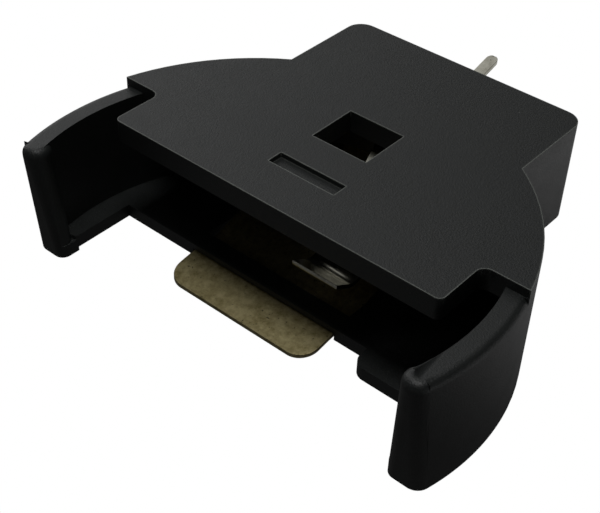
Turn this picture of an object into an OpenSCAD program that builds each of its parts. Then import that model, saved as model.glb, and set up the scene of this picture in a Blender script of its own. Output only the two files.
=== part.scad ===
// Vertical through-hole holder for one coin cell.
// It lies on its broad underside: +X right, +Y towards the solder pins, +Z up.
// The working coordinates have the cell pocket's axis at x = 0, y = 0;
// in_frame() then moves every piece so that the origin is the bottom centre of the whole holder.

/* [Cell] */
// Diameter of the coin cell
cell_d = 20; // [16:0.5:24]
// Gap between the cell's rim and the pocket's wall
cell_gap = 0.15; // [0.1:0.05:0.3]
// Height of the pocket, for the cell and both springs
pocket_h = 4.3; // [4:0.1:6]

/* [Housing walls] */
// Thickness of the round side wall and of the arms
wall = 1; // [0.8:0.1:1.6]
// Thickness of the cover
cover_t = 1.05; // [0.8:0.05:1.6]
// Thickness of the floor
floor_t = 0.65; // [0.6:0.05:1]
// How far the arms' tops lie below the cover's top
arm_drop = 0.42; // [0.2:0.02:0.8]
// How far the arms reach in front of the pocket's axis
arm_reach = 3.65; // [2:0.05:5]
// Rounding of the arm tips' lower edge, seen from the side
arm_tip_r = 0.6; // [0.2:0.05:0.8]

/* [Cover] */
// Width of the cover's front part, between the two notches
nose_w = 17.3; // [14:0.1:18]
// Distance of the cover's front edge behind the pocket's axis
nose_y = 0.15; // [0:0.05:2]
// Distance of the cover's shoulders behind the pocket's axis
shoulder_y = 2.85; // [2:0.05:4]
// Fillet in the two notches' inner corners
notch_r = 0.45; // [0.2:0.05:0.8]
// Rounding of the cover's front corners
nose_r = 0.3; // [0.1:0.05:0.6]
// Width of the window in the cover
window_w = 2.9; // [2:0.1:4]
// Length of the window, front to back
window_l = 2.6; // [2:0.1:3.5]
// Window's centre, sideways
window_x = -0.14; // [-1:0.02:1]
// Distance of the window's front edge behind the pocket's axis
window_y = 5.05; // [4:0.05:6]
// Length of the sunk polarity bar
mark_w = 3.5; // [2:0.1:5]
// Width of the sunk polarity bar, front to back
mark_l = 0.8; // [0.5:0.1:1.2]
// Distance of the bar's front edge behind the pocket's axis
mark_y = 2.4; // [2:0.1:3]
// Depth of the bar
mark_depth = 0.25; // [0.1:0.05:0.4]

/* [Floor] */
// Height of the floor's underside above the rim that the holder rests on
floor_lift = 0.2; // [0.1:0.05:0.4]
// Distance of the floor's front edge behind the pocket's axis
floor_y = 0.95; // [0.8:0.05:2]
// Clear width between the two ledges along the arms
ledge_gap = 18.2; // [17.5:0.1:19.5]
// How far the ledges end short of the arm tips
ledge_back = 1.1; // [0.8:0.1:2]
// Rounding of the ledges' free corners
ledge_r = 0.4; // [0.2:0.05:0.6]
// Left end of the foot in front of the floor, right of the axis
foot_x = 5.05; // [4:0.05:6]
// How far the foot reaches in front of the floor
foot_l = 1.04; // [0.4:0.01:1.5]
// Rounding of the foot's free corner
foot_r = 0.6; // [0.2:0.05:1]

/* [Block] */
// Width of the rear block
block_w = 12.72; // [10:0.1:16]
// Distance of the block's seating face behind the pocket's axis
block_y = 14.25; // [13:0.05:16]
// Height of the block's underside above the holder's underside
block_z = 1.15; // [0.8:0.05:1.5]
// Rounding of the block's upright rear edges
block_r = 0.85; // [0.3:0.05:1.2]
// Rounding of the block's lower rear edge
block_heel_r = 0.5; // [0.2:0.05:0.8]

/* [Contacts] */
// Thickness of the contacts' sheet metal
sheet = 0.2; // [0.15:0.05:0.3]
// Clearance round the contacts in the housing
slot_gap = 0.06; // [0.04:0.01:0.1]
// Width of a solder pin
pin_w = 0.6; // [0.5:0.05:1]
// Length of the solder pins beyond the seating face
pin_l = 2.6; // [1.8:0.1:3]
// Straight length of the upper pin before its bend
pin_free = 0.2; // [0.2:0.05:0.6]
// Upward bend of the upper pin, in degrees
pin_bend = 15; // [0:1:15]
// Upper pin's centre, sideways
pin_x = 0; // [-2:0.02:2]
// Height of the relief above each pin where it leaves the block
pin_relief = 0.5; // [0.2:0.05:0.6]
// Distance from one pin to the other, sideways and in height
pin_pitch = 2.54; // [2:0.01:2.8]
// Thickness of the block left behind each contact's root
back_wall = 0.9; // [0.6:0.1:1.4]

/* [Broad contact] */
// Width of the broad lower leaf and of its tongue
leaf_w = 8.1; // [6:0.1:9]
// Centre of the broad leaf, sideways
leaf_x = -0.8; // [-1.5:0.01:0]
// How far the tongue sticks out in front of the floor
tongue_l = 1.85; // [1:0.05:3]
// Rounding of the tongue's corners
tongue_r = 0.95; // [0.5:0.05:1.4]
// Height of the tongue's upper face above the floor's underside, where it leaves the floor
tongue_z = 0.32; // [0.3:0.01:0.4]
// Width of the front bar that keeps the tongue down
bar_l = 1; // [0.6:0.1:1.4]
// Height of the leaf's crest above the floor's top
crest_h = 0.75; // [0.3:0.05:1]
// Width of the leaf's root
leaf_root_w = 3; // [2:0.1:4]

/* [Finger contact] */
// Width of the finger at its tip
finger_w = 2.4; // [1.5:0.1:3]
// Centre of the finger's tip, sideways
finger_x = 1.9; // [0:0.1:3]
// Width of the finger's root
finger_root_w = 4; // [3:0.1:5]
// Centre of the finger's root, sideways
finger_root_x = 1.2; // [0:0.1:2]
// Distance of the finger's lowest point behind the pocket's axis
finger_y = 2.4; // [1.5:0.1:4]
// Height of the finger's lowest point above the floor's top
finger_z = 1.3; // [1:0.05:2.5]
// Length of the finger's turned-up tip
finger_tip_l = 1.2; // [0.8:0.1:1.6]
// Rise of the turned-up tip
finger_tip_h = 0.7; // [0.4:0.1:1]

/* [Hidden] */
$fn = 96;

pocket_r = cell_d/2 + cell_gap;
body_r = pocket_r + wall;
pocket_z = floor_lift + floor_t;
cover_z = pocket_z + pocket_h;
body_h = cover_z + cover_t;
arm_h = body_h - arm_drop;
eps = 0.02;
far = 4*body_r;

// Arm tips: full-round ends centred on the middle of the wall.
arm_mid_r = pocket_r + wall/2;
tip_y = -(arm_reach - wall/2);
tip_x = sqrt(arm_mid_r*arm_mid_r - tip_y*tip_y);

// The pins leave the block just under the cover's underside, and one pitch lower.
pin_z = cover_z - sheet/2 - slot_gap;
low_pin_z = pin_z - pin_pitch;
low_pin_x = pin_x - pin_pitch;
root_end = block_y - back_wall;
low_pin_end = block_y + pin_l;
high_pin_end = block_y + pin_free + (pin_l - pin_free)*cos(pin_bend);
high_pin_top = pin_z + (pin_l - pin_free)*sin(pin_bend);

// Middle of the whole holder, front to back.
frame_y = (low_pin_end - arm_reach)/2;

// Broad leaf: the bar over it, the window it moves in and its riser behind the cell.
bar_z = floor_lift + tongue_z + slot_gap;
bar_back = floor_y + bar_l;
bend = 0.2;
soft_bend = 0.5;
crest_bend = 2;
leaf_free = 0.4;
riser_gap = 0.3;
riser_y = pocket_r + riser_gap + sheet/2;
well_w = leaf_w + 2*slot_gap;
well_end = 0.9;
well_back = pocket_r - well_end;
taper_l = 1;
root_lap = 1;
leaf_low = floor_lift + tongue_z - sheet/2;
leaf_crest_z = pocket_z + crest_h - sheet/2;
leaf_crest_y = (bar_back + well_back)/2;
leaf_right = leaf_x + leaf_w/2;
leaf_left = leaf_x - leaf_w/2;
leaf_root_right = low_pin_x + leaf_root_w/2;

// Finger: its turned-up tip, its lowest line and the mouth of its slot in the pocket's wall.
finger_tip_y = finger_y - finger_tip_l;
finger_low = pocket_z + finger_z;
slot_mouth = pocket_r - 1;

// ---- helpers -------------------------------------------------------------

function unit(v) = v/norm(v);
function left_of(v) = [-v[1], v[0]];

// A corner of a path replaced by a short curve that starts and ends d away from it.
function eased(p, q, s, d, n = 6) =
    let (a = q + unit(p - q)*d, b = q + unit(s - q)*d)
    [for (i = [0:n]) let (t = i/n) (1 - t)*(1 - t)*a + 2*t*(1 - t)*q + t*t*b];

// A path with every inner corner eased by the distance that goes with it.
function eased_path(p, d) = [
    p[0],
    for (i = [1:len(p) - 2]) each eased(p[i - 1], p[i], p[i + 1], d[i]),
    p[len(p) - 1]
];

function normal_at(p, i) = left_of(unit(p[min(i + 1, len(p) - 1)] - p[max(i - 1, 0)]));

// Outline of a strip of thickness t along a path.
function strip(p, t) = concat(
    [for (i = [0:len(p) - 1]) p[i] + normal_at(p, i)*t/2],
    [for (i = [len(p) - 1:-1:0]) p[i] - normal_at(p, i)*t/2]
);

module in_frame() {
    translate([0, -frame_y, 0]) children();
}

// Extrudes a side profile, drawn as [y, z], along X from x0 to x1.
module along_x(x0, x1) {
    translate([x0, 0, 0]) rotate([90, 0, 90]) linear_extrude(x1 - x0) children();
}

// Rectangle from one corner to the opposite one.
module rect(a, b) {
    translate(a) square(b - a);
}

// Rounds the convex corner of a shape: the square less the quarter disc, to be cut away.
module corner_cut(c, r, sx, sy) {
    translate(c) scale_signs(sx, sy) difference() {
        translate([-eps, -eps]) square(r + eps);
        translate([r, r]) circle(r);
    }
}

module scale_signs(sx, sy) {
    mirror([sx < 0 ? 1 : 0, 0]) mirror([0, sy < 0 ? 1 : 0]) children();
}

// ---- housing -------------------------------------------------------------

module wall_plan() {
    difference() {
        circle(body_r);
        circle(pocket_r);
        rect([-far, -far], [far, tip_y]);
    }
    for (side = [-1, 1]) translate([side*tip_x, tip_y]) circle(wall/2);
}

module arms_and_wall() {
    intersection() {
        linear_extrude(arm_h) wall_plan();
        along_x(-far, far) difference() {
            rect([-arm_reach, 0], [far, arm_h]);
            corner_cut([-arm_reach, 0], arm_tip_r, 1, 1);
            corner_cut([-arm_reach, arm_h], arm_tip_r/2, 1, -1);
        }
    }
}

module cover_plan() {
    intersection() {
        circle(body_r);
        difference() {
            union() {
                rect([-far, shoulder_y], [far, far]);
                rect([-nose_w/2, nose_y], [nose_w/2, far]);
                for (side = [-1, 1]) notch_fillet(side);
            }
            corner_cut([-nose_w/2, nose_y], nose_r, 1, 1);
            corner_cut([nose_w/2, nose_y], nose_r, -1, 1);
        }
    }
}

module notch_fillet(side) {
    mirror([side < 0 ? 1 : 0, 0]) translate([nose_w/2, shoulder_y]) difference() {
        rect([-eps, -notch_r], [notch_r, eps]);
        translate([notch_r, -notch_r]) circle(notch_r);
    }
}

module cover() {
    translate([0, 0, cover_z]) linear_extrude(cover_t) cover_plan();
}

module floor_plan() {
    intersection() {
        circle(arm_mid_r);
        union() {
            rect([-far, floor_y], [far, far]);
            for (side = [-1, 1]) ledge(side);
            foot();
        }
    }
}

module ledge(side) {
    front = ledge_back - arm_reach;
    mirror([side < 0 ? 1 : 0, 0]) difference() {
        rect([ledge_gap/2, front], [far, floor_y + eps]);
        corner_cut([ledge_gap/2, front], ledge_r, 1, 1);
    }
}

module floor_plate() {
    translate([0, 0, floor_lift]) linear_extrude(floor_t) floor_plan();
}

module foot() {
    difference() {
        rect([foot_x, floor_y - foot_l], [far, floor_y + eps]);
        corner_cut([foot_x, floor_y - foot_l], foot_r, 1, 1);
    }
}

module block_plan() {
    difference() {
        rect([-block_w/2, 0], [block_w/2, block_y]);
        corner_cut([-block_w/2, block_y], block_r, 1, -1);
        corner_cut([block_w/2, block_y], block_r, -1, -1);
    }
}

// Solid block behind the round wall, which it meets at the middle of the wall's thickness.
module block() {
    difference() {
        intersection() {
            translate([0, 0, block_z]) linear_extrude(body_h - block_z) block_plan();
            along_x(-far, far) difference() {
                rect([0, 0], [block_y, body_h]);
                corner_cut([block_y, block_z], block_heel_r, -1, 1);
            }
        }
        translate([0, 0, -eps]) cylinder(r = arm_mid_r, h = body_h + 2*eps);
    }
}

module window() {
    translate([window_x - window_w/2, window_y, cover_z - eps]) cube([window_w, window_l, cover_t + 2*eps]);
}

module polarity_bar() {
    translate([-mark_w/2, mark_y, body_h - mark_depth]) cube([mark_w, mark_l, mark_depth + eps]);
}

// Way of the broad contact: under the front bar, through the floor and up behind the cell.
module leaf_way() {
    root_w = leaf_root_w + 2*slot_gap;
    well_top = low_pin_z + sheet/2 + slot_gap;
    riser_back = riser_y + sheet/2 + slot_gap;
    translate([leaf_x - well_w/2, floor_y - eps, 0]) cube([well_w, bar_l + 2*eps, bar_z]);
    linear_extrude(pocket_z + eps) well_plan();
    translate([low_pin_x - root_w/2, well_back - eps, 0]) cube([root_w, riser_back - well_back + eps, well_top]);
    root_slot(low_pin_x, root_w, low_pin_z);
}

// The floor's window under the leaf, narrowed like the leaf towards its root.
module well_plan() {
    difference() {
        rect([leaf_left - slot_gap, bar_back], [leaf_right + slot_gap, well_back]);
        leaf_shoulder(slot_gap);
    }
}

module finger_way() {
    root_w = finger_root_w + 2*slot_gap;
    root_slot(finger_root_x, root_w, pin_z);
}

// Slot for a root, from the pocket back to the wall that its shoulders meet.
module root_slot(x, w, z) {
    h = sheet + 2*slot_gap;
    translate([x - w/2, slot_mouth, z - h/2]) cube([w, root_end - slot_mouth, h]);
}

// Hole for a pin, with a relief above it that keeps the board clear of the pin.
module pin_hole(x, z) {
    w = pin_w + 2*slot_gap;
    h = sheet + 2*slot_gap;
    translate([x - w/2, root_end - eps, z - h/2]) cube([w, back_wall + 2*eps, h + pin_relief]);
}

module housing() {
    color([0.13, 0.13, 0.13]) in_frame() difference() {
        union() {
            arms_and_wall();
            cover();
            floor_plate();
            block();
        }
        window();
        polarity_bar();
        leaf_way();
        finger_way();
        pin_hole(low_pin_x, low_pin_z);
        pin_hole(pin_x, pin_z);
    }
}

// ---- contacts ------------------------------------------------------------

// Flat outline of a pin with a round end.
module pin_plan(x, y0, y1) {
    rect([x - pin_w/2, y0], [x + pin_w/2, y1 - pin_w/2]);
    translate([x, y1 - pin_w/2]) circle(pin_w/2);
}

module leaf_plan() {
    front = floor_y - tongue_l;
    difference() {
        rect([leaf_left, front], [leaf_right, well_back - slot_gap]);
        corner_cut([leaf_left, front], tongue_r, 1, 1);
        corner_cut([leaf_right, front], tongue_r, -1, 1);
        leaf_shoulder(0);
    }
    rect([low_pin_x - leaf_root_w/2, well_back - root_lap], [leaf_root_right, root_end - slot_gap]);
    pin_plan(low_pin_x, root_end - root_lap, low_pin_end);
}

// Slanted cut that narrows the leaf, or the window grown by a gap round it, towards its root.
module leaf_shoulder(gap) {
    polygon([
        [leaf_right + gap + eps, leaf_crest_y + taper_l + gap], [leaf_right + gap + eps, far],
        [leaf_root_right + gap, far], [leaf_root_right + gap, well_back - slot_gap + gap]
    ]);
}

function leaf_path() = eased_path(
    [
        [floor_y - tongue_l - eps, sheet/2],
        [floor_y, leaf_low],
        [bar_back + leaf_free, leaf_low],
        [leaf_crest_y, leaf_crest_z],
        [well_back, leaf_low],
        [riser_y, leaf_low],
        [riser_y, low_pin_z],
        [low_pin_end + eps, low_pin_z]
    ],
    [0, soft_bend, leaf_free, crest_bend, soft_bend, bend, bend, 0]
);

module leaf_contact() {
    color([0.72, 0.69, 0.58]) in_frame() intersection() {
        along_x(-far, far) polygon(strip(leaf_path(), sheet));
        linear_extrude(body_h) leaf_plan();
    }
}

module finger_plan() {
    left = finger_x - finger_w/2;
    right = finger_x + finger_w/2;
    root_left = finger_root_x - finger_root_w/2;
    root_right = finger_root_x + finger_root_w/2;
    polygon([
        [left, finger_tip_y], [right, finger_tip_y], [right, finger_y + taper_l], [root_right, slot_mouth],
        [root_right, root_end - slot_gap], [root_left, root_end - slot_gap],
        [root_left, slot_mouth], [left, finger_y + taper_l]
    ]);
    pin_plan(pin_x, root_end - root_lap, high_pin_end);
}

function finger_path() = eased_path(
    [
        [finger_tip_y - eps, finger_low + finger_tip_h],
        [finger_y, finger_low],
        [slot_mouth, pin_z],
        [block_y + pin_free, pin_z],
        [high_pin_end, high_pin_top]
    ],
    [0, soft_bend, soft_bend, bend, 0]
);

module finger_contact() {
    color([0.75, 0.74, 0.7]) in_frame() intersection() {
        along_x(-far, far) polygon(strip(finger_path(), sheet));
        linear_extrude(body_h) finger_plan();
    }
}

housing();
leaf_contact();
finger_contact();
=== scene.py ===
"""A moulded holder for one coin cell, lying on its broad underside in a plain studio."""
import logging
import math
from dataclasses import dataclass
from enum import Enum

import bmesh
import bpy
from mathutils import Matrix, Vector


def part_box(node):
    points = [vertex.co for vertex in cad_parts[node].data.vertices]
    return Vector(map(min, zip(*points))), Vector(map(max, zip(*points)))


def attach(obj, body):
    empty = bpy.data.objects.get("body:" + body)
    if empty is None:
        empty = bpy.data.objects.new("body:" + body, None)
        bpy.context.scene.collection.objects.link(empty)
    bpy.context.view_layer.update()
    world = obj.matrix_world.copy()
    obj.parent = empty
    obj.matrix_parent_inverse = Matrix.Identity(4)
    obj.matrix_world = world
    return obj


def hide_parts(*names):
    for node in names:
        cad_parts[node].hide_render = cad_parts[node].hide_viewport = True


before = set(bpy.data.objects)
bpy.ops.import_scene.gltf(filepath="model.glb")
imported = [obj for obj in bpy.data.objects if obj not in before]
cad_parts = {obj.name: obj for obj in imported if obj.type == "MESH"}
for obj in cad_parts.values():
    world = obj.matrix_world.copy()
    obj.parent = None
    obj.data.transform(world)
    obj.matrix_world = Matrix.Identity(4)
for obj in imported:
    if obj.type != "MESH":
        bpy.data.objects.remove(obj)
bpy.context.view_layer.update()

MM = 0.001
MERGE_MM = 0.0001
WELD_MM = 0.0005
FLAT_WITHIN = math.radians(0.5)
log = logging.getLogger("coin_cell_holder")


class RayKind(Enum):
    """Kinds of ray that a floor or sky can answer on their own."""

    CAMERA = "Is Camera Ray"
    GLOSSY = "Is Glossy Ray"
    TRANSMISSION = "Is Transmission Ray"


def linear(hex_colour: str) -> tuple[float, float, float, float]:
    """Turns an sRGB hex colour into the linear one that the shaders read.

    Args:
        hex_colour: Six hex digits, with or without a leading hash.

    Returns:
        Linear red, green, blue and an alpha of one.
    """
    digits = hex_colour.lstrip("#")
    channels = [int(digits[i:i + 2], 16) / 255 for i in (0, 2, 4)]
    flat = [c / 12.92 if c <= 0.04045 else ((c + 0.055) / 1.055) ** 2.4 for c in channels]
    return (flat[0], flat[1], flat[2], 1.0)


class NodeGraph:
    """A material's or a world's node tree, with short ways to add the nodes that this scene needs."""

    COLOUR_INPUTS = (6, 7)
    COLOUR_OUTPUT = 2
    VALUE_INPUTS = (2, 3)
    VALUE_OUTPUT = 0

    def __init__(self, owner: bpy.types.Material | bpy.types.World) -> None:
        """Empties the owner's node tree.

        Args:
            owner: The material or world whose nodes are built.
        """
        owner.use_nodes = True
        self.tree = owner.node_tree
        self.tree.nodes.clear()

    def add(self, kind: str, settings: dict | None = None, inputs: dict | None = None) -> bpy.types.Node:
        """Adds a node, sets its properties and fills or links its sockets.

        Args:
            kind: Blender's name of the node type.
            settings: Values for the node's own properties.
            inputs: For each socket, by name or number, a value or an output socket to link.

        Returns:
            The new node.
        """
        node = self.tree.nodes.new(kind)
        for key, value in (settings or {}).items():
            setattr(node, key, value)
        for key, value in (inputs or {}).items():
            if isinstance(value, bpy.types.NodeSocket):
                self.tree.links.new(value, node.inputs[key])
            else:
                node.inputs[key].default_value = value
        return node

    def place(self) -> bpy.types.NodeSocket:
        """Gives the place on the object.

        Returns:
            The socket with the object's own coordinates, in metres.
        """
        return self.add("ShaderNodeTexCoord").outputs["Object"]

    def noise(self, place: bpy.types.NodeSocket, size_mm: float, detail: float,
              roughness: float) -> bpy.types.NodeSocket:
        """Adds a cloudy noise.

        Args:
            place: Where it is read.
            size_mm: Size of its clouds.
            detail: Number of finer layers.
            roughness: Strength of the finer layers.

        Returns:
            The socket with the noise, from zero to one.
        """
        return self.add("ShaderNodeTexNoise", inputs={
            "Vector": place, "Scale": 1 / (size_mm * MM), "Detail": detail, "Roughness": roughness,
        }).outputs["Fac"]

    def ramp(self, value: bpy.types.NodeSocket, start: float, end: float, low: float = 0.0,
             high: float = 1.0, smooth: bool = False, clamp: bool = True) -> bpy.types.NodeSocket:
        """Maps a value from one range to another.

        Args:
            value: The value.
            start: Value at which the ramp starts.
            end: Value at which it ends.
            low: Result at the start.
            high: Result at the end.
            smooth: Whether the ramp eases in and out.
            clamp: Whether the result stays between its ends.

        Returns:
            The socket with the result.
        """
        settings = {"interpolation_type": "SMOOTHSTEP"} if smooth else {"clamp": clamp}
        return self.add("ShaderNodeMapRange", settings, {
            "Value": value, "From Min": start, "From Max": end, "To Min": low, "To Max": high,
        }).outputs["Result"]

    def calculate(self, operation: str, first: bpy.types.NodeSocket,
                  second: bpy.types.NodeSocket | float) -> bpy.types.NodeSocket:
        """Does a sum on two values.

        Args:
            operation: Blender's name of the operation.
            first: The first value.
            second: The second value.

        Returns:
            The socket with the result.
        """
        return self.add("ShaderNodeMath", {"operation": operation}, {0: first, 1: second}).outputs["Value"]

    def compare(self, operation: str, first: bpy.types.NodeSocket,
                second: bpy.types.NodeSocket | Vector | None = None) -> bpy.types.NodeSocket:
        """Works out one number from one or two vectors.

        Args:
            operation: Blender's name of the operation.
            first: The first vector.
            second: The second vector, where the operation has one.

        Returns:
            The socket with the number.
        """
        inputs = {0: first} if second is None else {0: first, 1: second}
        return self.add("ShaderNodeVectorMath", {"operation": operation}, inputs).outputs["Value"]

    def blend_colours(self, share: bpy.types.NodeSocket, first: bpy.types.NodeSocket | tuple,
                      second: tuple) -> bpy.types.NodeSocket:
        """Blends two colours.

        Args:
            share: Share of the second one.
            first: The first colour.
            second: The second colour.

        Returns:
            The socket with the blend.
        """
        return self.add("ShaderNodeMix", {"data_type": "RGBA"}, {
            "Factor": share, self.COLOUR_INPUTS[0]: first, self.COLOUR_INPUTS[1]: second,
        }).outputs[self.COLOUR_OUTPUT]

    def blend_to_one(self, share: bpy.types.NodeSocket, value: bpy.types.NodeSocket) -> bpy.types.NodeSocket:
        """Blends a value towards one.

        Args:
            share: How far it goes.
            value: The value.

        Returns:
            The socket with the blend.
        """
        return self.add("ShaderNodeMix", {"data_type": "FLOAT"}, {
            0: share, self.VALUE_INPUTS[0]: value, self.VALUE_INPUTS[1]: 1.0,
        }).outputs[self.VALUE_OUTPUT]

    def relief(self, height: bpy.types.NodeSocket, depth_mm: float) -> bpy.types.NodeSocket:
        """Turns a height into a bumped surface.

        Args:
            height: The height, from zero to one.
            depth_mm: What a height of one stands for.

        Returns:
            The socket with the bumped normal.
        """
        return self.add("ShaderNodeBump", inputs={
            "Height": height, "Strength": 1.0, "Distance": depth_mm * MM}).outputs["Normal"]

    def seen(self, *kinds: RayKind) -> bpy.types.NodeSocket:
        """Gives one for rays of the named kinds and zero for the rest.

        Args:
            *kinds: The kinds of ray.

        Returns:
            The socket with the answer.
        """
        path = self.add("ShaderNodeLightPath")
        total = path.outputs[kinds[0].value]
        for kind in kinds[1:]:
            total = self.calculate("MAXIMUM", total, path.outputs[kind.value])
        return total


@dataclass(frozen=True)
class SparkTexturedNylon:
    """Black glass-filled nylon from a spark-textured mould: dark, satin, with a fine even grain."""

    name: str = "black_moulded_nylon"
    body_hex: str = "#1c1f1e"
    worn_hex: str = "#232625"
    # Painted highlight: the pale colour, bevel radius and height band of the edges near the cover's top that
    # are drawn lit.
    painted_highlight_hex: str = "#868a84"
    edge_mm: float = 0.10
    highlight_from_mm: float = 5.85
    highlight_to_mm: float = 6.15
    dust_hex: str = "#6d6f6a"
    roughness_low: float = 0.40
    roughness_high: float = 0.46
    edge_samples: int = 6
    highlight_starts: float = 0.995
    highlight_ends: float = 0.93
    highlight_share: float = 0.8
    grain_mm: float = 0.075
    grain_depth_mm: float = 0.022
    grain_layers: float = 3.0
    grain_harshness: float = 0.65
    refraction: float = 1.5
    cloud_mm: float = 1.2
    cloud_layers: float = 4.0
    cloud_harshness: float = 0.6
    cloud_low: float = 0.3
    cloud_high: float = 0.7
    dust_cell_mm: float = 1.4
    dust_outer: float = 0.05
    dust_inner: float = 0.025
    dust_rarity: float = 0.8
    dust_share: float = 0.35

    def dust(self, graph: NodeGraph, place: bpy.types.NodeSocket) -> bpy.types.NodeSocket:
        """Scatters rare pale specks, drawn large enough to show.

        Args:
            graph: The material's nodes.
            place: Where they are read.

        Returns:
            The socket with the specks' strength.
        """
        cells = graph.add("ShaderNodeTexVoronoi", inputs={
            "Vector": place, "Scale": 1 / (self.dust_cell_mm * MM)})
        near = graph.ramp(cells.outputs["Distance"], self.dust_outer, self.dust_inner)
        drawn = graph.add("ShaderNodeSeparateColor", inputs={"Color": cells.outputs["Color"]})
        rare = graph.calculate("GREATER_THAN", drawn.outputs["Red"], self.dust_rarity)
        return graph.calculate("MULTIPLY", graph.calculate("MULTIPLY", near, rare), self.dust_share)

    def painted_edge_highlights(self, graph: NodeGraph, place: bpy.types.NodeSocket) -> bpy.types.NodeSocket:
        """Finds the edges near the cover's top, where a highlight is painted paler into the colour.

        Args:
            graph: The material's nodes.
            place: Where they are read.

        Returns:
            The socket with how much painted highlight each spot gets.
        """
        # Painted highlight: edges near the cover's top, where the bevelled normal turns from the flat one,
        # are blended towards a pale colour.
        turned = graph.add("ShaderNodeBevel", {"samples": self.edge_samples}, {"Radius": self.edge_mm * MM})
        straight = graph.add("ShaderNodeNewGeometry")
        bend = graph.compare("DOT_PRODUCT", turned.outputs["Normal"], straight.outputs["Normal"])
        highlighted = graph.ramp(bend, self.highlight_starts, self.highlight_ends, high=self.highlight_share)
        height = graph.add("ShaderNodeSeparateXYZ", inputs={0: place}).outputs["Z"]
        near_top = graph.ramp(height, self.highlight_from_mm * MM, self.highlight_to_mm * MM)
        return graph.calculate("MULTIPLY", highlighted, near_top)

    def build(self) -> bpy.types.Material:
        """Builds the shader: a clouded black body, a fine grain, painted highlights along the cover's top
        edges and a little dust.

        Returns:
            The finished material.
        """
        material = bpy.data.materials.new(self.name)
        graph = NodeGraph(material)
        place = graph.place()
        clouds = graph.noise(place, self.cloud_mm, self.cloud_layers, self.cloud_harshness)
        colour = graph.blend_colours(clouds, linear(self.body_hex), linear(self.worn_hex))
        colour = graph.blend_colours(self.dust(graph, place), colour, linear(self.dust_hex))
        # Painted highlight along the edges near the cover's top.
        colour = graph.blend_colours(self.painted_edge_highlights(graph, place), colour, linear(self.painted_highlight_hex))
        rough = graph.ramp(clouds, self.cloud_low, self.cloud_high, self.roughness_low, self.roughness_high)
        grain = graph.noise(place, self.grain_mm, self.grain_layers, self.grain_harshness)
        shader = graph.add("ShaderNodeBsdfPrincipled", inputs={
            "Base Color": colour, "Roughness": rough, "IOR": self.refraction,
            "Normal": graph.relief(grain, self.grain_depth_mm)})
        graph.add("ShaderNodeOutputMaterial", inputs={"Surface": shader.outputs["BSDF"]})
        return material


@dataclass(frozen=True)
class PlatedSpringStrip:
    """Rolled and plated spring strip: mottled by stains, with small dark pits and short rolling marks."""

    name: str
    clean_hex: str
    stained_hex: str
    roughness_low: float
    roughness_high: float
    pit_hex: str = "#2b2619"
    pit_mm: float = 0.16
    pit_layers: float = 2.0
    pit_harshness: float = 0.5
    pit_low: float = 0.66
    pit_high: float = 0.72
    pit_share: float = 0.8
    stain_mm: float = 0.45
    stain_layers: float = 6.0
    stain_harshness: float = 0.7
    stain_low: float = 0.38
    stain_high: float = 0.68
    dull_low: float = 0.35
    dull_high: float = 0.7
    rolling_mm: float = 0.12
    rolling_layers: float = 2.0
    rolling_harshness: float = 0.5
    rolling_stretch: float = 14.0
    rolling_depth_mm: float = 0.002

    def build(self) -> bpy.types.Material:
        """Builds the shader: a stained metal with rolling marks and small dark pits.

        Returns:
            The finished material.
        """
        material = bpy.data.materials.new(self.name)
        graph = NodeGraph(material)
        place = graph.place()
        stains = graph.noise(place, self.stain_mm, self.stain_layers, self.stain_harshness)
        stained = graph.ramp(stains, self.stain_low, self.stain_high)
        colour = graph.blend_colours(stained, linear(self.clean_hex), linear(self.stained_hex))
        pits = graph.noise(place, self.pit_mm, self.pit_layers, self.pit_harshness)
        pitted = graph.ramp(pits, self.pit_low, self.pit_high, high=self.pit_share)
        colour = graph.blend_colours(pitted, colour, linear(self.pit_hex))
        drawn = graph.add("ShaderNodeMapping", inputs={
            "Vector": place, "Scale": (1.0, 1 / self.rolling_stretch, 1.0)})
        rolling = graph.noise(drawn.outputs["Vector"], self.rolling_mm,
                              self.rolling_layers, self.rolling_harshness)
        rough = graph.ramp(stains, self.dull_low, self.dull_high, self.roughness_low, self.roughness_high)
        shader = graph.add("ShaderNodeBsdfPrincipled", inputs={
            "Base Color": colour, "Metallic": 1.0, "Roughness": rough,
            "Normal": graph.relief(rolling, self.rolling_depth_mm)})
        graph.add("ShaderNodeOutputMaterial", inputs={"Surface": shader.outputs["BSDF"]})
        return material


def lofted(name: str, rings: list[list[tuple[float, float, float]]]) -> bpy.types.Object:
    """Makes a solid through a row of rings of points, all in millimetres.

    Args:
        name: The solid's name.
        rings: Rings with as many points each, in order along the solid.

    Returns:
        The solid, as a new object that isn't in the scene's collection yet.
    """
    solid = bmesh.new()
    loops = [[solid.verts.new(Vector(point) * MM) for point in ring] for ring in rings]
    for this, following in zip(loops, loops[1:]):
        for i in range(len(this)):
            j = (i + 1) % len(this)
            solid.faces.new((this[i], this[j], following[j], following[i]))
    solid.faces.new(loops[0])
    solid.faces.new(loops[-1])
    bmesh.ops.remove_doubles(solid, verts=solid.verts, dist=MERGE_MM * MM)
    bmesh.ops.recalc_face_normals(solid, faces=solid.faces)
    mesh = bpy.data.meshes.new(name)
    solid.to_mesh(mesh)
    solid.free()
    return bpy.data.objects.new(name, mesh)


def prism(name: str, outline: list[tuple[float, float]], low: float, high: float) -> bpy.types.Object:
    """Makes an upright prism.

    Args:
        name: The prism's name.
        outline: Its plan, as x and y in millimetres.
        low: Height of its foot.
        high: Height of its top.

    Returns:
        The prism.
    """
    return lofted(name, [[(x, y, z) for x, y in outline] for z in (low, high)])


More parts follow.
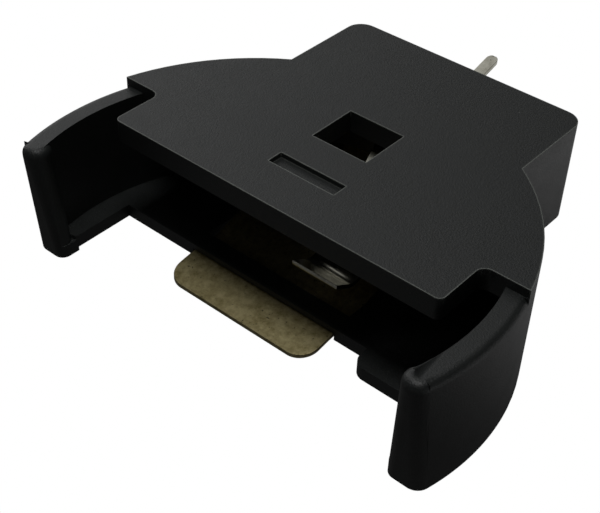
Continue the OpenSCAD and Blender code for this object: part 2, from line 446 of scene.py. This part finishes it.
def quarter(centre: tuple[float, float], radius: float, start: float,
            steps: int = 8) -> list[tuple[float, float]]:
    """Gives the points of a quarter circle.

    Args:
        centre: The circle's centre.
        radius: Its radius.
        start: Angle of its first point, in radians.
        steps: Number of flats.

    Returns:
        The points, turning anticlockwise.
    """
    angles = [start + math.pi / 2 * step / steps for step in range(steps + 1)]
    return [(centre[0] + radius * math.cos(angle), centre[1] + radius * math.sin(angle)) for angle in angles]


@dataclass(frozen=True)
class ArmFinish:
    """The forms that the mould gives the two arms, in millimetres.

    Each arm ends in a bead that leans back and widens towards its foot, where it joins the ledge.
    The outer top edge is soft all along the arm.
    """

    body_radius: float = 11.15
    arm_height: float = 5.78
    arm_reach: float = 3.65
    bead_radius: float = 0.62
    top_radius: float = 0.36
    foot_set_back: float = 0.5
    lean_from: float = 5.3
    shoulder_y: float = 2.85
    ledge_inner_x: float = 9.1
    ledge_outer_x: float = 10.3
    ledge_corner: float = 0.45
    ledge_height: float = 0.65
    ledge_overlap: float = 1.0
    skin: float = 0.6
    skin_lap: float = 0.1
    margin: float = 3.0
    wall_steps: int = 48
    bead_steps: int = 48

    def tools(self) -> list[tuple[bpy.types.Object, str]]:
        """Makes the solids that shape the arms, in the order in which they act.

        Returns:
            Each solid with the boolean operation that it does.
        """
        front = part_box("housing")[0].y / MM
        axis_y = front + self.arm_reach
        made = [(self.tip_cut(axis_y), "DIFFERENCE")]
        for side in (-1, 1):
            made.append((self.along_arm("outer_cut", side, axis_y, self.taken_section()), "DIFFERENCE"))
            made.append((self.along_arm("outer_face", side, axis_y, self.given_section()), "UNION"))
            made.append((self.bead(side, axis_y), "UNION"))
            made.append((self.ledge(side, front + self.foot_set_back), "UNION"))
        return made

    def along_arm(self, name: str, side: int, axis_y: float,
                  section: list[tuple[float, float]]) -> bpy.types.Object:
        """Sweeps an upright section along an arm, from its leaning tip to the cover's shoulder.

        Args:
            name: The solid's name.
            side: One for the right arm, minus one for the left.
            axis_y: Where the pocket's axis stands.
            section: The section, as distance from the axis and height.

        Returns:
            The solid.
        """
        rise = math.asin(self.shoulder_y / self.body_radius)
        rings = []
        for step in range(self.wall_steps + 1):
            ring = []
            for radius, z in section:
                tip = self.tip_angle(z)
                angle = tip + (rise - tip) * step / self.wall_steps
                ring.append((side * radius * math.cos(angle), axis_y + radius * math.sin(angle), z))
            rings.append(ring)
        return lofted(name, rings)

    def tip_angle(self, height: float) -> float:
        """Gives the angle about the pocket's axis at which the arms' beads stand.

        Args:
            height: Height above the underside; the tips lean back towards it.

        Returns:
            The angle from +X, negative towards the front.
        """
        back = self.foot_set_back * (1 - min(max(height / self.lean_from, 0.0), 1.0))
        return math.asin((back - self.arm_reach + self.bead_radius) / (self.body_radius - self.bead_radius))

    def tip_cut(self, axis_y: float) -> bpy.types.Object:
        """Makes the leaning wedge that cuts both arms off where their beads go.

        Args:
            axis_y: Where the pocket's axis stands.

        Returns:
            The wedge.
        """
        reach = self.body_radius + self.margin
        rings = []
        for z in (-self.margin, 0.0, self.lean_from, self.arm_height + self.margin):
            x, y = reach * math.cos(self.tip_angle(z)), axis_y + reach * math.sin(self.tip_angle(z))
            front = axis_y - reach
            rings.append([(0.0, axis_y, z), (x, y, z), (x, front, z), (-x, front, z), (-x, y, z)])
        return lofted("tip_cut", rings)

    def bead(self, side: int, axis_y: float) -> bpy.types.Object:
        """Makes the leaning bead at the end of an arm.

        Args:
            side: One for the right arm, minus one for the left.
            axis_y: Where the pocket's axis stands.

        Returns:
            The bead, with its top edge rounded.
        """
        r, h, e = self.bead_radius, self.arm_height, self.top_radius
        circle, corner = self.body_radius - r, self.ledge_corner
        foot = (self.ledge_inner_x + corner, axis_y - self.arm_reach + self.foot_set_back + corner)
        turns = [math.tau * step / self.bead_steps for step in range(self.bead_steps)]
        rounding = [(r - x, z) for x, z in quarter((r - e, h - e), e, 0.0)]
        rings = []
        for inset, z in [(0.0, 0.0), (0.0, self.lean_from)] + rounding:
            tip, up = self.tip_angle(z), min(z / self.lean_from, 1.0)
            outer = (circle * math.cos(tip), axis_y + circle * math.sin(tip), r - inset)
            inner = (foot[0] + (outer[0] - foot[0]) * up, foot[1] + (outer[1] - foot[1]) * up,
                     corner + (r - corner) * up - inset)
            ring = []
            for turn in turns:
                along = Vector((math.cos(turn), math.sin(turn)))
                x, y, radius = max((outer, inner), key=lambda c: along.dot(Vector(c[:2])) + c[2])
                ring.append((side * (x + radius * along.x), y + radius * along.y, z))
            rings.append(ring)
        return lofted("bead", rings)

    def ledge(self, side: int, front: float) -> bpy.types.Object:
        """Makes the front end of the ledge along an arm's foot.

        Args:
            side: One for the right arm, minus one for the left.
            front: The arm's front at its foot.

        Returns:
            The ledge's end.
        """
        inner, corner = self.ledge_inner_x, self.ledge_corner
        outline = quarter((inner + corner, front + corner), corner, math.pi)
        outline += [(self.ledge_outer_x, front), (self.ledge_outer_x, front + self.ledge_overlap),
                    (inner, front + self.ledge_overlap)]
        return prism("ledge_end", [(side * x, y) for x, y in outline], 0.0, self.ledge_height)

    def given_section(self) -> list[tuple[float, float]]:
        """Gives the section of an arm's outer half, with its soft top edge.

        Returns:
            Its points, as distance from the pocket's axis and height.
        """
        r, h, e = self.body_radius, self.arm_height, self.top_radius
        inner = r - self.skin
        return [(inner, 0.0), (r, 0.0), (r, self.lean_from)] + quarter((r - e, h - e), e, 0.0) + [(inner, h)]

    def taken_section(self) -> list[tuple[float, float]]:
        """Gives the section of what makes room for an arm's outer half.

        Returns:
            Its points, as distance from the pocket's axis and height.
        """
        inner, outer = self.body_radius - self.skin + self.skin_lap, self.body_radius + self.margin
        return [(inner, -self.margin), (outer, -self.margin), (outer, self.arm_height + self.skin_lap),
                (inner, self.arm_height + self.skin_lap)]


@dataclass
class MadePiece:
    """One piece of the holder, shaped by the construction model and finished here."""

    node: str
    slot: str
    edge_mm: float
    edge_segments: int = 3
    edge_angle: float = math.radians(38)

    def clean_faces(self, piece: bpy.types.Object) -> None:
        """Joins the triangles of the construction model into whole faces.

        Args:
            piece: The piece to clean.
        """
        weld = piece.modifiers.new("weld", "WELD")
        weld.merge_threshold = WELD_MM * MM
        flat = piece.modifiers.new("flat_faces", "DECIMATE")
        flat.decimate_type = "DISSOLVE"
        flat.angle_limit = FLAT_WITHIN

    def soften_edges(self, piece: bpy.types.Object) -> None:
        """Gives the piece the small radius that every moulded or punched edge has.

        Args:
            piece: The piece to finish.
        """
        edge = piece.modifiers.new("edge_radius", "BEVEL")
        edge.width = self.edge_mm * MM
        edge.segments = self.edge_segments
        edge.limit_method = "ANGLE"
        edge.angle_limit = self.edge_angle
        edge.miter_outer = "MITER_ARC"
        edge.harden_normals = False
        shade = piece.modifiers.new("even_shading", "WEIGHTED_NORMAL")
        shade.keep_sharp = True

    def finish(self, material: bpy.types.Material) -> bpy.types.Object:
        """Puts the finish on the piece and ties it to the holder's body.

        Args:
            material: The piece's finish.

        Returns:
            The finished piece.
        """
        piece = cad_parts[self.node]
        self.clean_faces(piece)
        self.soften_edges(piece)
        return self.dress(piece, material)

    def dress(self, piece: bpy.types.Object, material: bpy.types.Material) -> bpy.types.Object:
        """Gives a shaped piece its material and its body.

        Args:
            piece: The piece.
            material: Its finish.

        Returns:
            The same piece.
        """
        piece.data.materials.clear()
        piece.data.materials.append(material)
        for face in piece.data.polygons:
            face.use_smooth = True
        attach(piece, "root")
        return piece


@dataclass
class ReshapedPiece(MadePiece):
    """A piece whose construction model is finished by further solids before its edges are softened."""

    shown_name: str = "moulded_housing"

    def finish(self, material: bpy.types.Material) -> bpy.types.Object:
        """Shapes a copy of the construction model, which stands for it from then on.

        Args:
            material: The piece's finish.

        Returns:
            The finished copy.
        """
        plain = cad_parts[self.node]
        piece = bpy.data.objects.new(self.shown_name, plain.data.copy())
        bpy.context.scene.collection.objects.link(piece)
        self.clean_faces(piece)
        tools = ArmFinish().tools()
        for tool, operation in tools:
            bpy.context.scene.collection.objects.link(tool)
            cut = piece.modifiers.new(tool.name, "BOOLEAN")
            cut.solver = "MANIFOLD"
            cut.operation = operation
            cut.object = tool
        bpy.context.view_layer.update()
        seen = piece.evaluated_get(bpy.context.evaluated_depsgraph_get())
        shaped = bpy.data.meshes.new_from_object(seen)
        piece.modifiers.clear()
        piece.data = shaped
        for tool, _ in tools:
            bpy.data.objects.remove(tool)
        self.clean_faces(piece)
        self.soften_edges(piece)
        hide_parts(self.node)
        return self.dress(piece, material)


@dataclass
class Studio:
    """The pale floor, the overhead lamp, the sky and the camera.

    The camera's angles are in degrees. A strength of one is white.
    """

    floor_size: float = 3.0
    floor_shadow_hex: str = "#484848"
    floor_light_to: tuple[float, float, float] = (0.64, 0.77, 0.0)
    shade_from_mm: float = 2.0
    shade_to_mm: float = 19.0
    floor_dark: float = 0.06
    floor_light: float = 0.45
    under_centre_mm: tuple[float, float, float] = (0.0, 1.5, 0.0)
    under_dark_mm: float = 5.8
    under_edge_mm: float = 6.5
    white_from_mm: float = 200.0
    white_to_mm: float = 500.0
    sky_bright_side: tuple[float, float, float] = (-0.90, 0.15, 0.40)
    sky_sharpness: float = 5.0
    sky_low: float = 0.045
    sky_high: float = 1.4
    sky_front: float = -0.20
    sky_back: float = 0.30
    lamp_place_mm: tuple[float, float, float] = (0.0, -13.0, 110.0)
    lamp_size_mm: float = 34.0
    lamp_strength: float = 9.0
    azimuth: float = 39.309
    elevation: float = 39.967
    roll: float = 2.178
    distance_mm: float = 52.061
    focal_mm: float = 72.681
    sensor_mm: float = 36.0
    nearest_mm: float = 1.0
    farthest_mm: float = 10000.0
    target_mm: tuple[float, float, float] = (0.086, -4.141, 2.0)

    def lay_floor(self) -> None:
        """Lays the pale floor: white to the camera, and to the rest a painted shadow, bright behind and dark
        in front.
        """
        bpy.ops.mesh.primitive_plane_add(size=self.floor_size)
        floor = bpy.context.object
        floor.name = "floor"
        material = bpy.data.materials.new("pale_studio_floor")
        graph = NodeGraph(material)
        place = graph.place()
        # Painted shadow: to reflections the floor is dim in front of the holder and brighter behind it,
        # fading to white far off.
        along = graph.compare("DOT_PRODUCT", place, Vector(self.floor_light_to))
        near = graph.ramp(along, self.shade_from_mm * MM, self.shade_to_mm * MM,
                          self.floor_dark, self.floor_light, smooth=True)
        far = graph.ramp(graph.compare("LENGTH", place), self.white_from_mm * MM, self.white_to_mm * MM,
                         smooth=True)
        # Under the holder no light gets in, so nothing pale shows through its openings.
        inward = graph.compare("DISTANCE", place, Vector(self.under_centre_mm) * MM)
        open_air = graph.ramp(inward, self.under_dark_mm * MM, self.under_edge_mm * MM, smooth=True)
        shown = graph.seen(RayKind.CAMERA, RayKind.TRANSMISSION)
        strength = graph.blend_to_one(shown, graph.blend_to_one(far, near))
        strength = graph.calculate("MULTIPLY", strength, open_air)
        glow = graph.add("ShaderNodeEmission", inputs={"Strength": strength})
        matt = graph.add("ShaderNodeBsdfDiffuse", inputs={"Color": linear(self.floor_shadow_hex)})
        glowing = graph.seen(RayKind.CAMERA, RayKind.TRANSMISSION, RayKind.GLOSSY)
        both = graph.add("ShaderNodeMixShader", inputs={
            0: glowing, 1: matt.outputs["BSDF"], 2: glow.outputs["Emission"]})
        graph.add("ShaderNodeOutputMaterial", inputs={"Surface": both.outputs["Shader"]})
        floor.data.materials.append(material)

    def hang_sky(self) -> None:
        """Fills the world with a soft light that is strongest low on the left, and white to the camera."""
        world = bpy.data.worlds.new("soft_sky")
        bpy.context.scene.world = world
        graph = NodeGraph(world)
        look = graph.add("ShaderNodeTexCoord").outputs["Generated"]
        toward = graph.compare("DOT_PRODUCT", look, Vector(self.sky_bright_side).normalized())
        peak = graph.calculate("POWER", graph.calculate("MAXIMUM", toward, 0.0), self.sky_sharpness)
        # The front half stays dark, so that little light gets in through the holder's mouth.
        depth = graph.add("ShaderNodeSeparateXYZ", inputs={0: look}).outputs["Y"]
        behind = graph.ramp(depth, self.sky_front, self.sky_back, smooth=True)
        peak = graph.calculate("MULTIPLY", peak, behind)
        light = graph.ramp(peak, 0.0, 1.0, self.sky_low, self.sky_high, clamp=False)
        strength = graph.blend_to_one(graph.seen(RayKind.CAMERA, RayKind.TRANSMISSION), light)
        sky = graph.add("ShaderNodeBackground", inputs={
            "Color": (1.0, 1.0, 1.0, 1.0), "Strength": strength})
        graph.add("ShaderNodeOutputWorld", inputs={"Surface": sky.outputs["Background"]})

    def hang_lamp(self) -> None:
        """Hangs the overhead softbox, which faces the holder."""
        data = bpy.data.lights.new("overhead_softbox", "AREA")
        data.shape = "SQUARE"
        data.size = self.lamp_size_mm * MM
        data.energy = self.lamp_strength * math.pi * data.size ** 2
        lamp = bpy.data.objects.new("overhead_softbox", data)
        bpy.context.scene.collection.objects.link(lamp)
        lamp.location = Vector(self.lamp_place_mm) * MM
        lamp.rotation_euler = (-lamp.location).to_track_quat("-Z", "Y").to_euler()
        lamp.visible_camera = False

    def set_camera(self) -> None:
        """Stands the camera where it looks down on the mouth of the holder."""
        turn, lift, roll = (math.radians(v) for v in (self.azimuth, self.elevation, self.roll))
        back = Vector((math.sin(turn) * math.cos(lift), -math.cos(turn) * math.cos(lift), math.sin(lift)))
        right = Vector((math.cos(turn), math.sin(turn), 0.0))
        up = back.cross(right)
        side = right * math.cos(roll) + up * math.sin(roll)
        top = up * math.cos(roll) - right * math.sin(roll)
        data = bpy.data.cameras.new("camera")
        data.sensor_fit = "HORIZONTAL"
        data.sensor_width = self.sensor_mm
        data.lens = self.focal_mm
        data.clip_start, data.clip_end = self.nearest_mm * MM, self.farthest_mm * MM
        camera = bpy.data.objects.new("camera", data)
        bpy.context.scene.collection.objects.link(camera)
        place = (Vector(self.target_mm) + back * self.distance_mm) * MM
        camera.matrix_world = Matrix.Translation(place) @ Matrix((side, top, back)).transposed().to_4x4()
        bpy.context.scene.camera = camera

    def build(self) -> None:
        """Sets up the whole studio."""
        bpy.context.scene.view_settings.view_transform = "Standard"
        self.lay_floor()
        self.hang_sky()
        self.hang_lamp()
        self.set_camera()


def main() -> None:
    """Finishes the three pieces, sets the studio round them and reports each."""
    logging.basicConfig(level=logging.INFO, format="%(name)s: %(message)s")
    nylon = SparkTexturedNylon().build()
    dull = PlatedSpringStrip("dull_nickel_plated_strip", clean_hex="#bfb388", stained_hex="#83784f",
                             roughness_low=0.45, roughness_high=0.58).build()
    bright = PlatedSpringStrip("bright_nickel_plated_strip", clean_hex="#e0ded0", stained_hex="#bcb9aa",
                               roughness_low=0.16, roughness_high=0.26).build()
    for made, material in (
        (ReshapedPiece("housing", "black_plastic", edge_mm=0.09), nylon),
        (MadePiece("leaf_contact", "leaf_metal", edge_mm=0.02, edge_segments=2), dull),
        (MadePiece("finger_contact", "finger_metal", edge_mm=0.02, edge_segments=2), bright),
    ):
        piece = made.finish(material)
        log.info("%s finished in %s", piece.name, material.name)
    Studio().build()


if __name__ == "__main__":
    main()
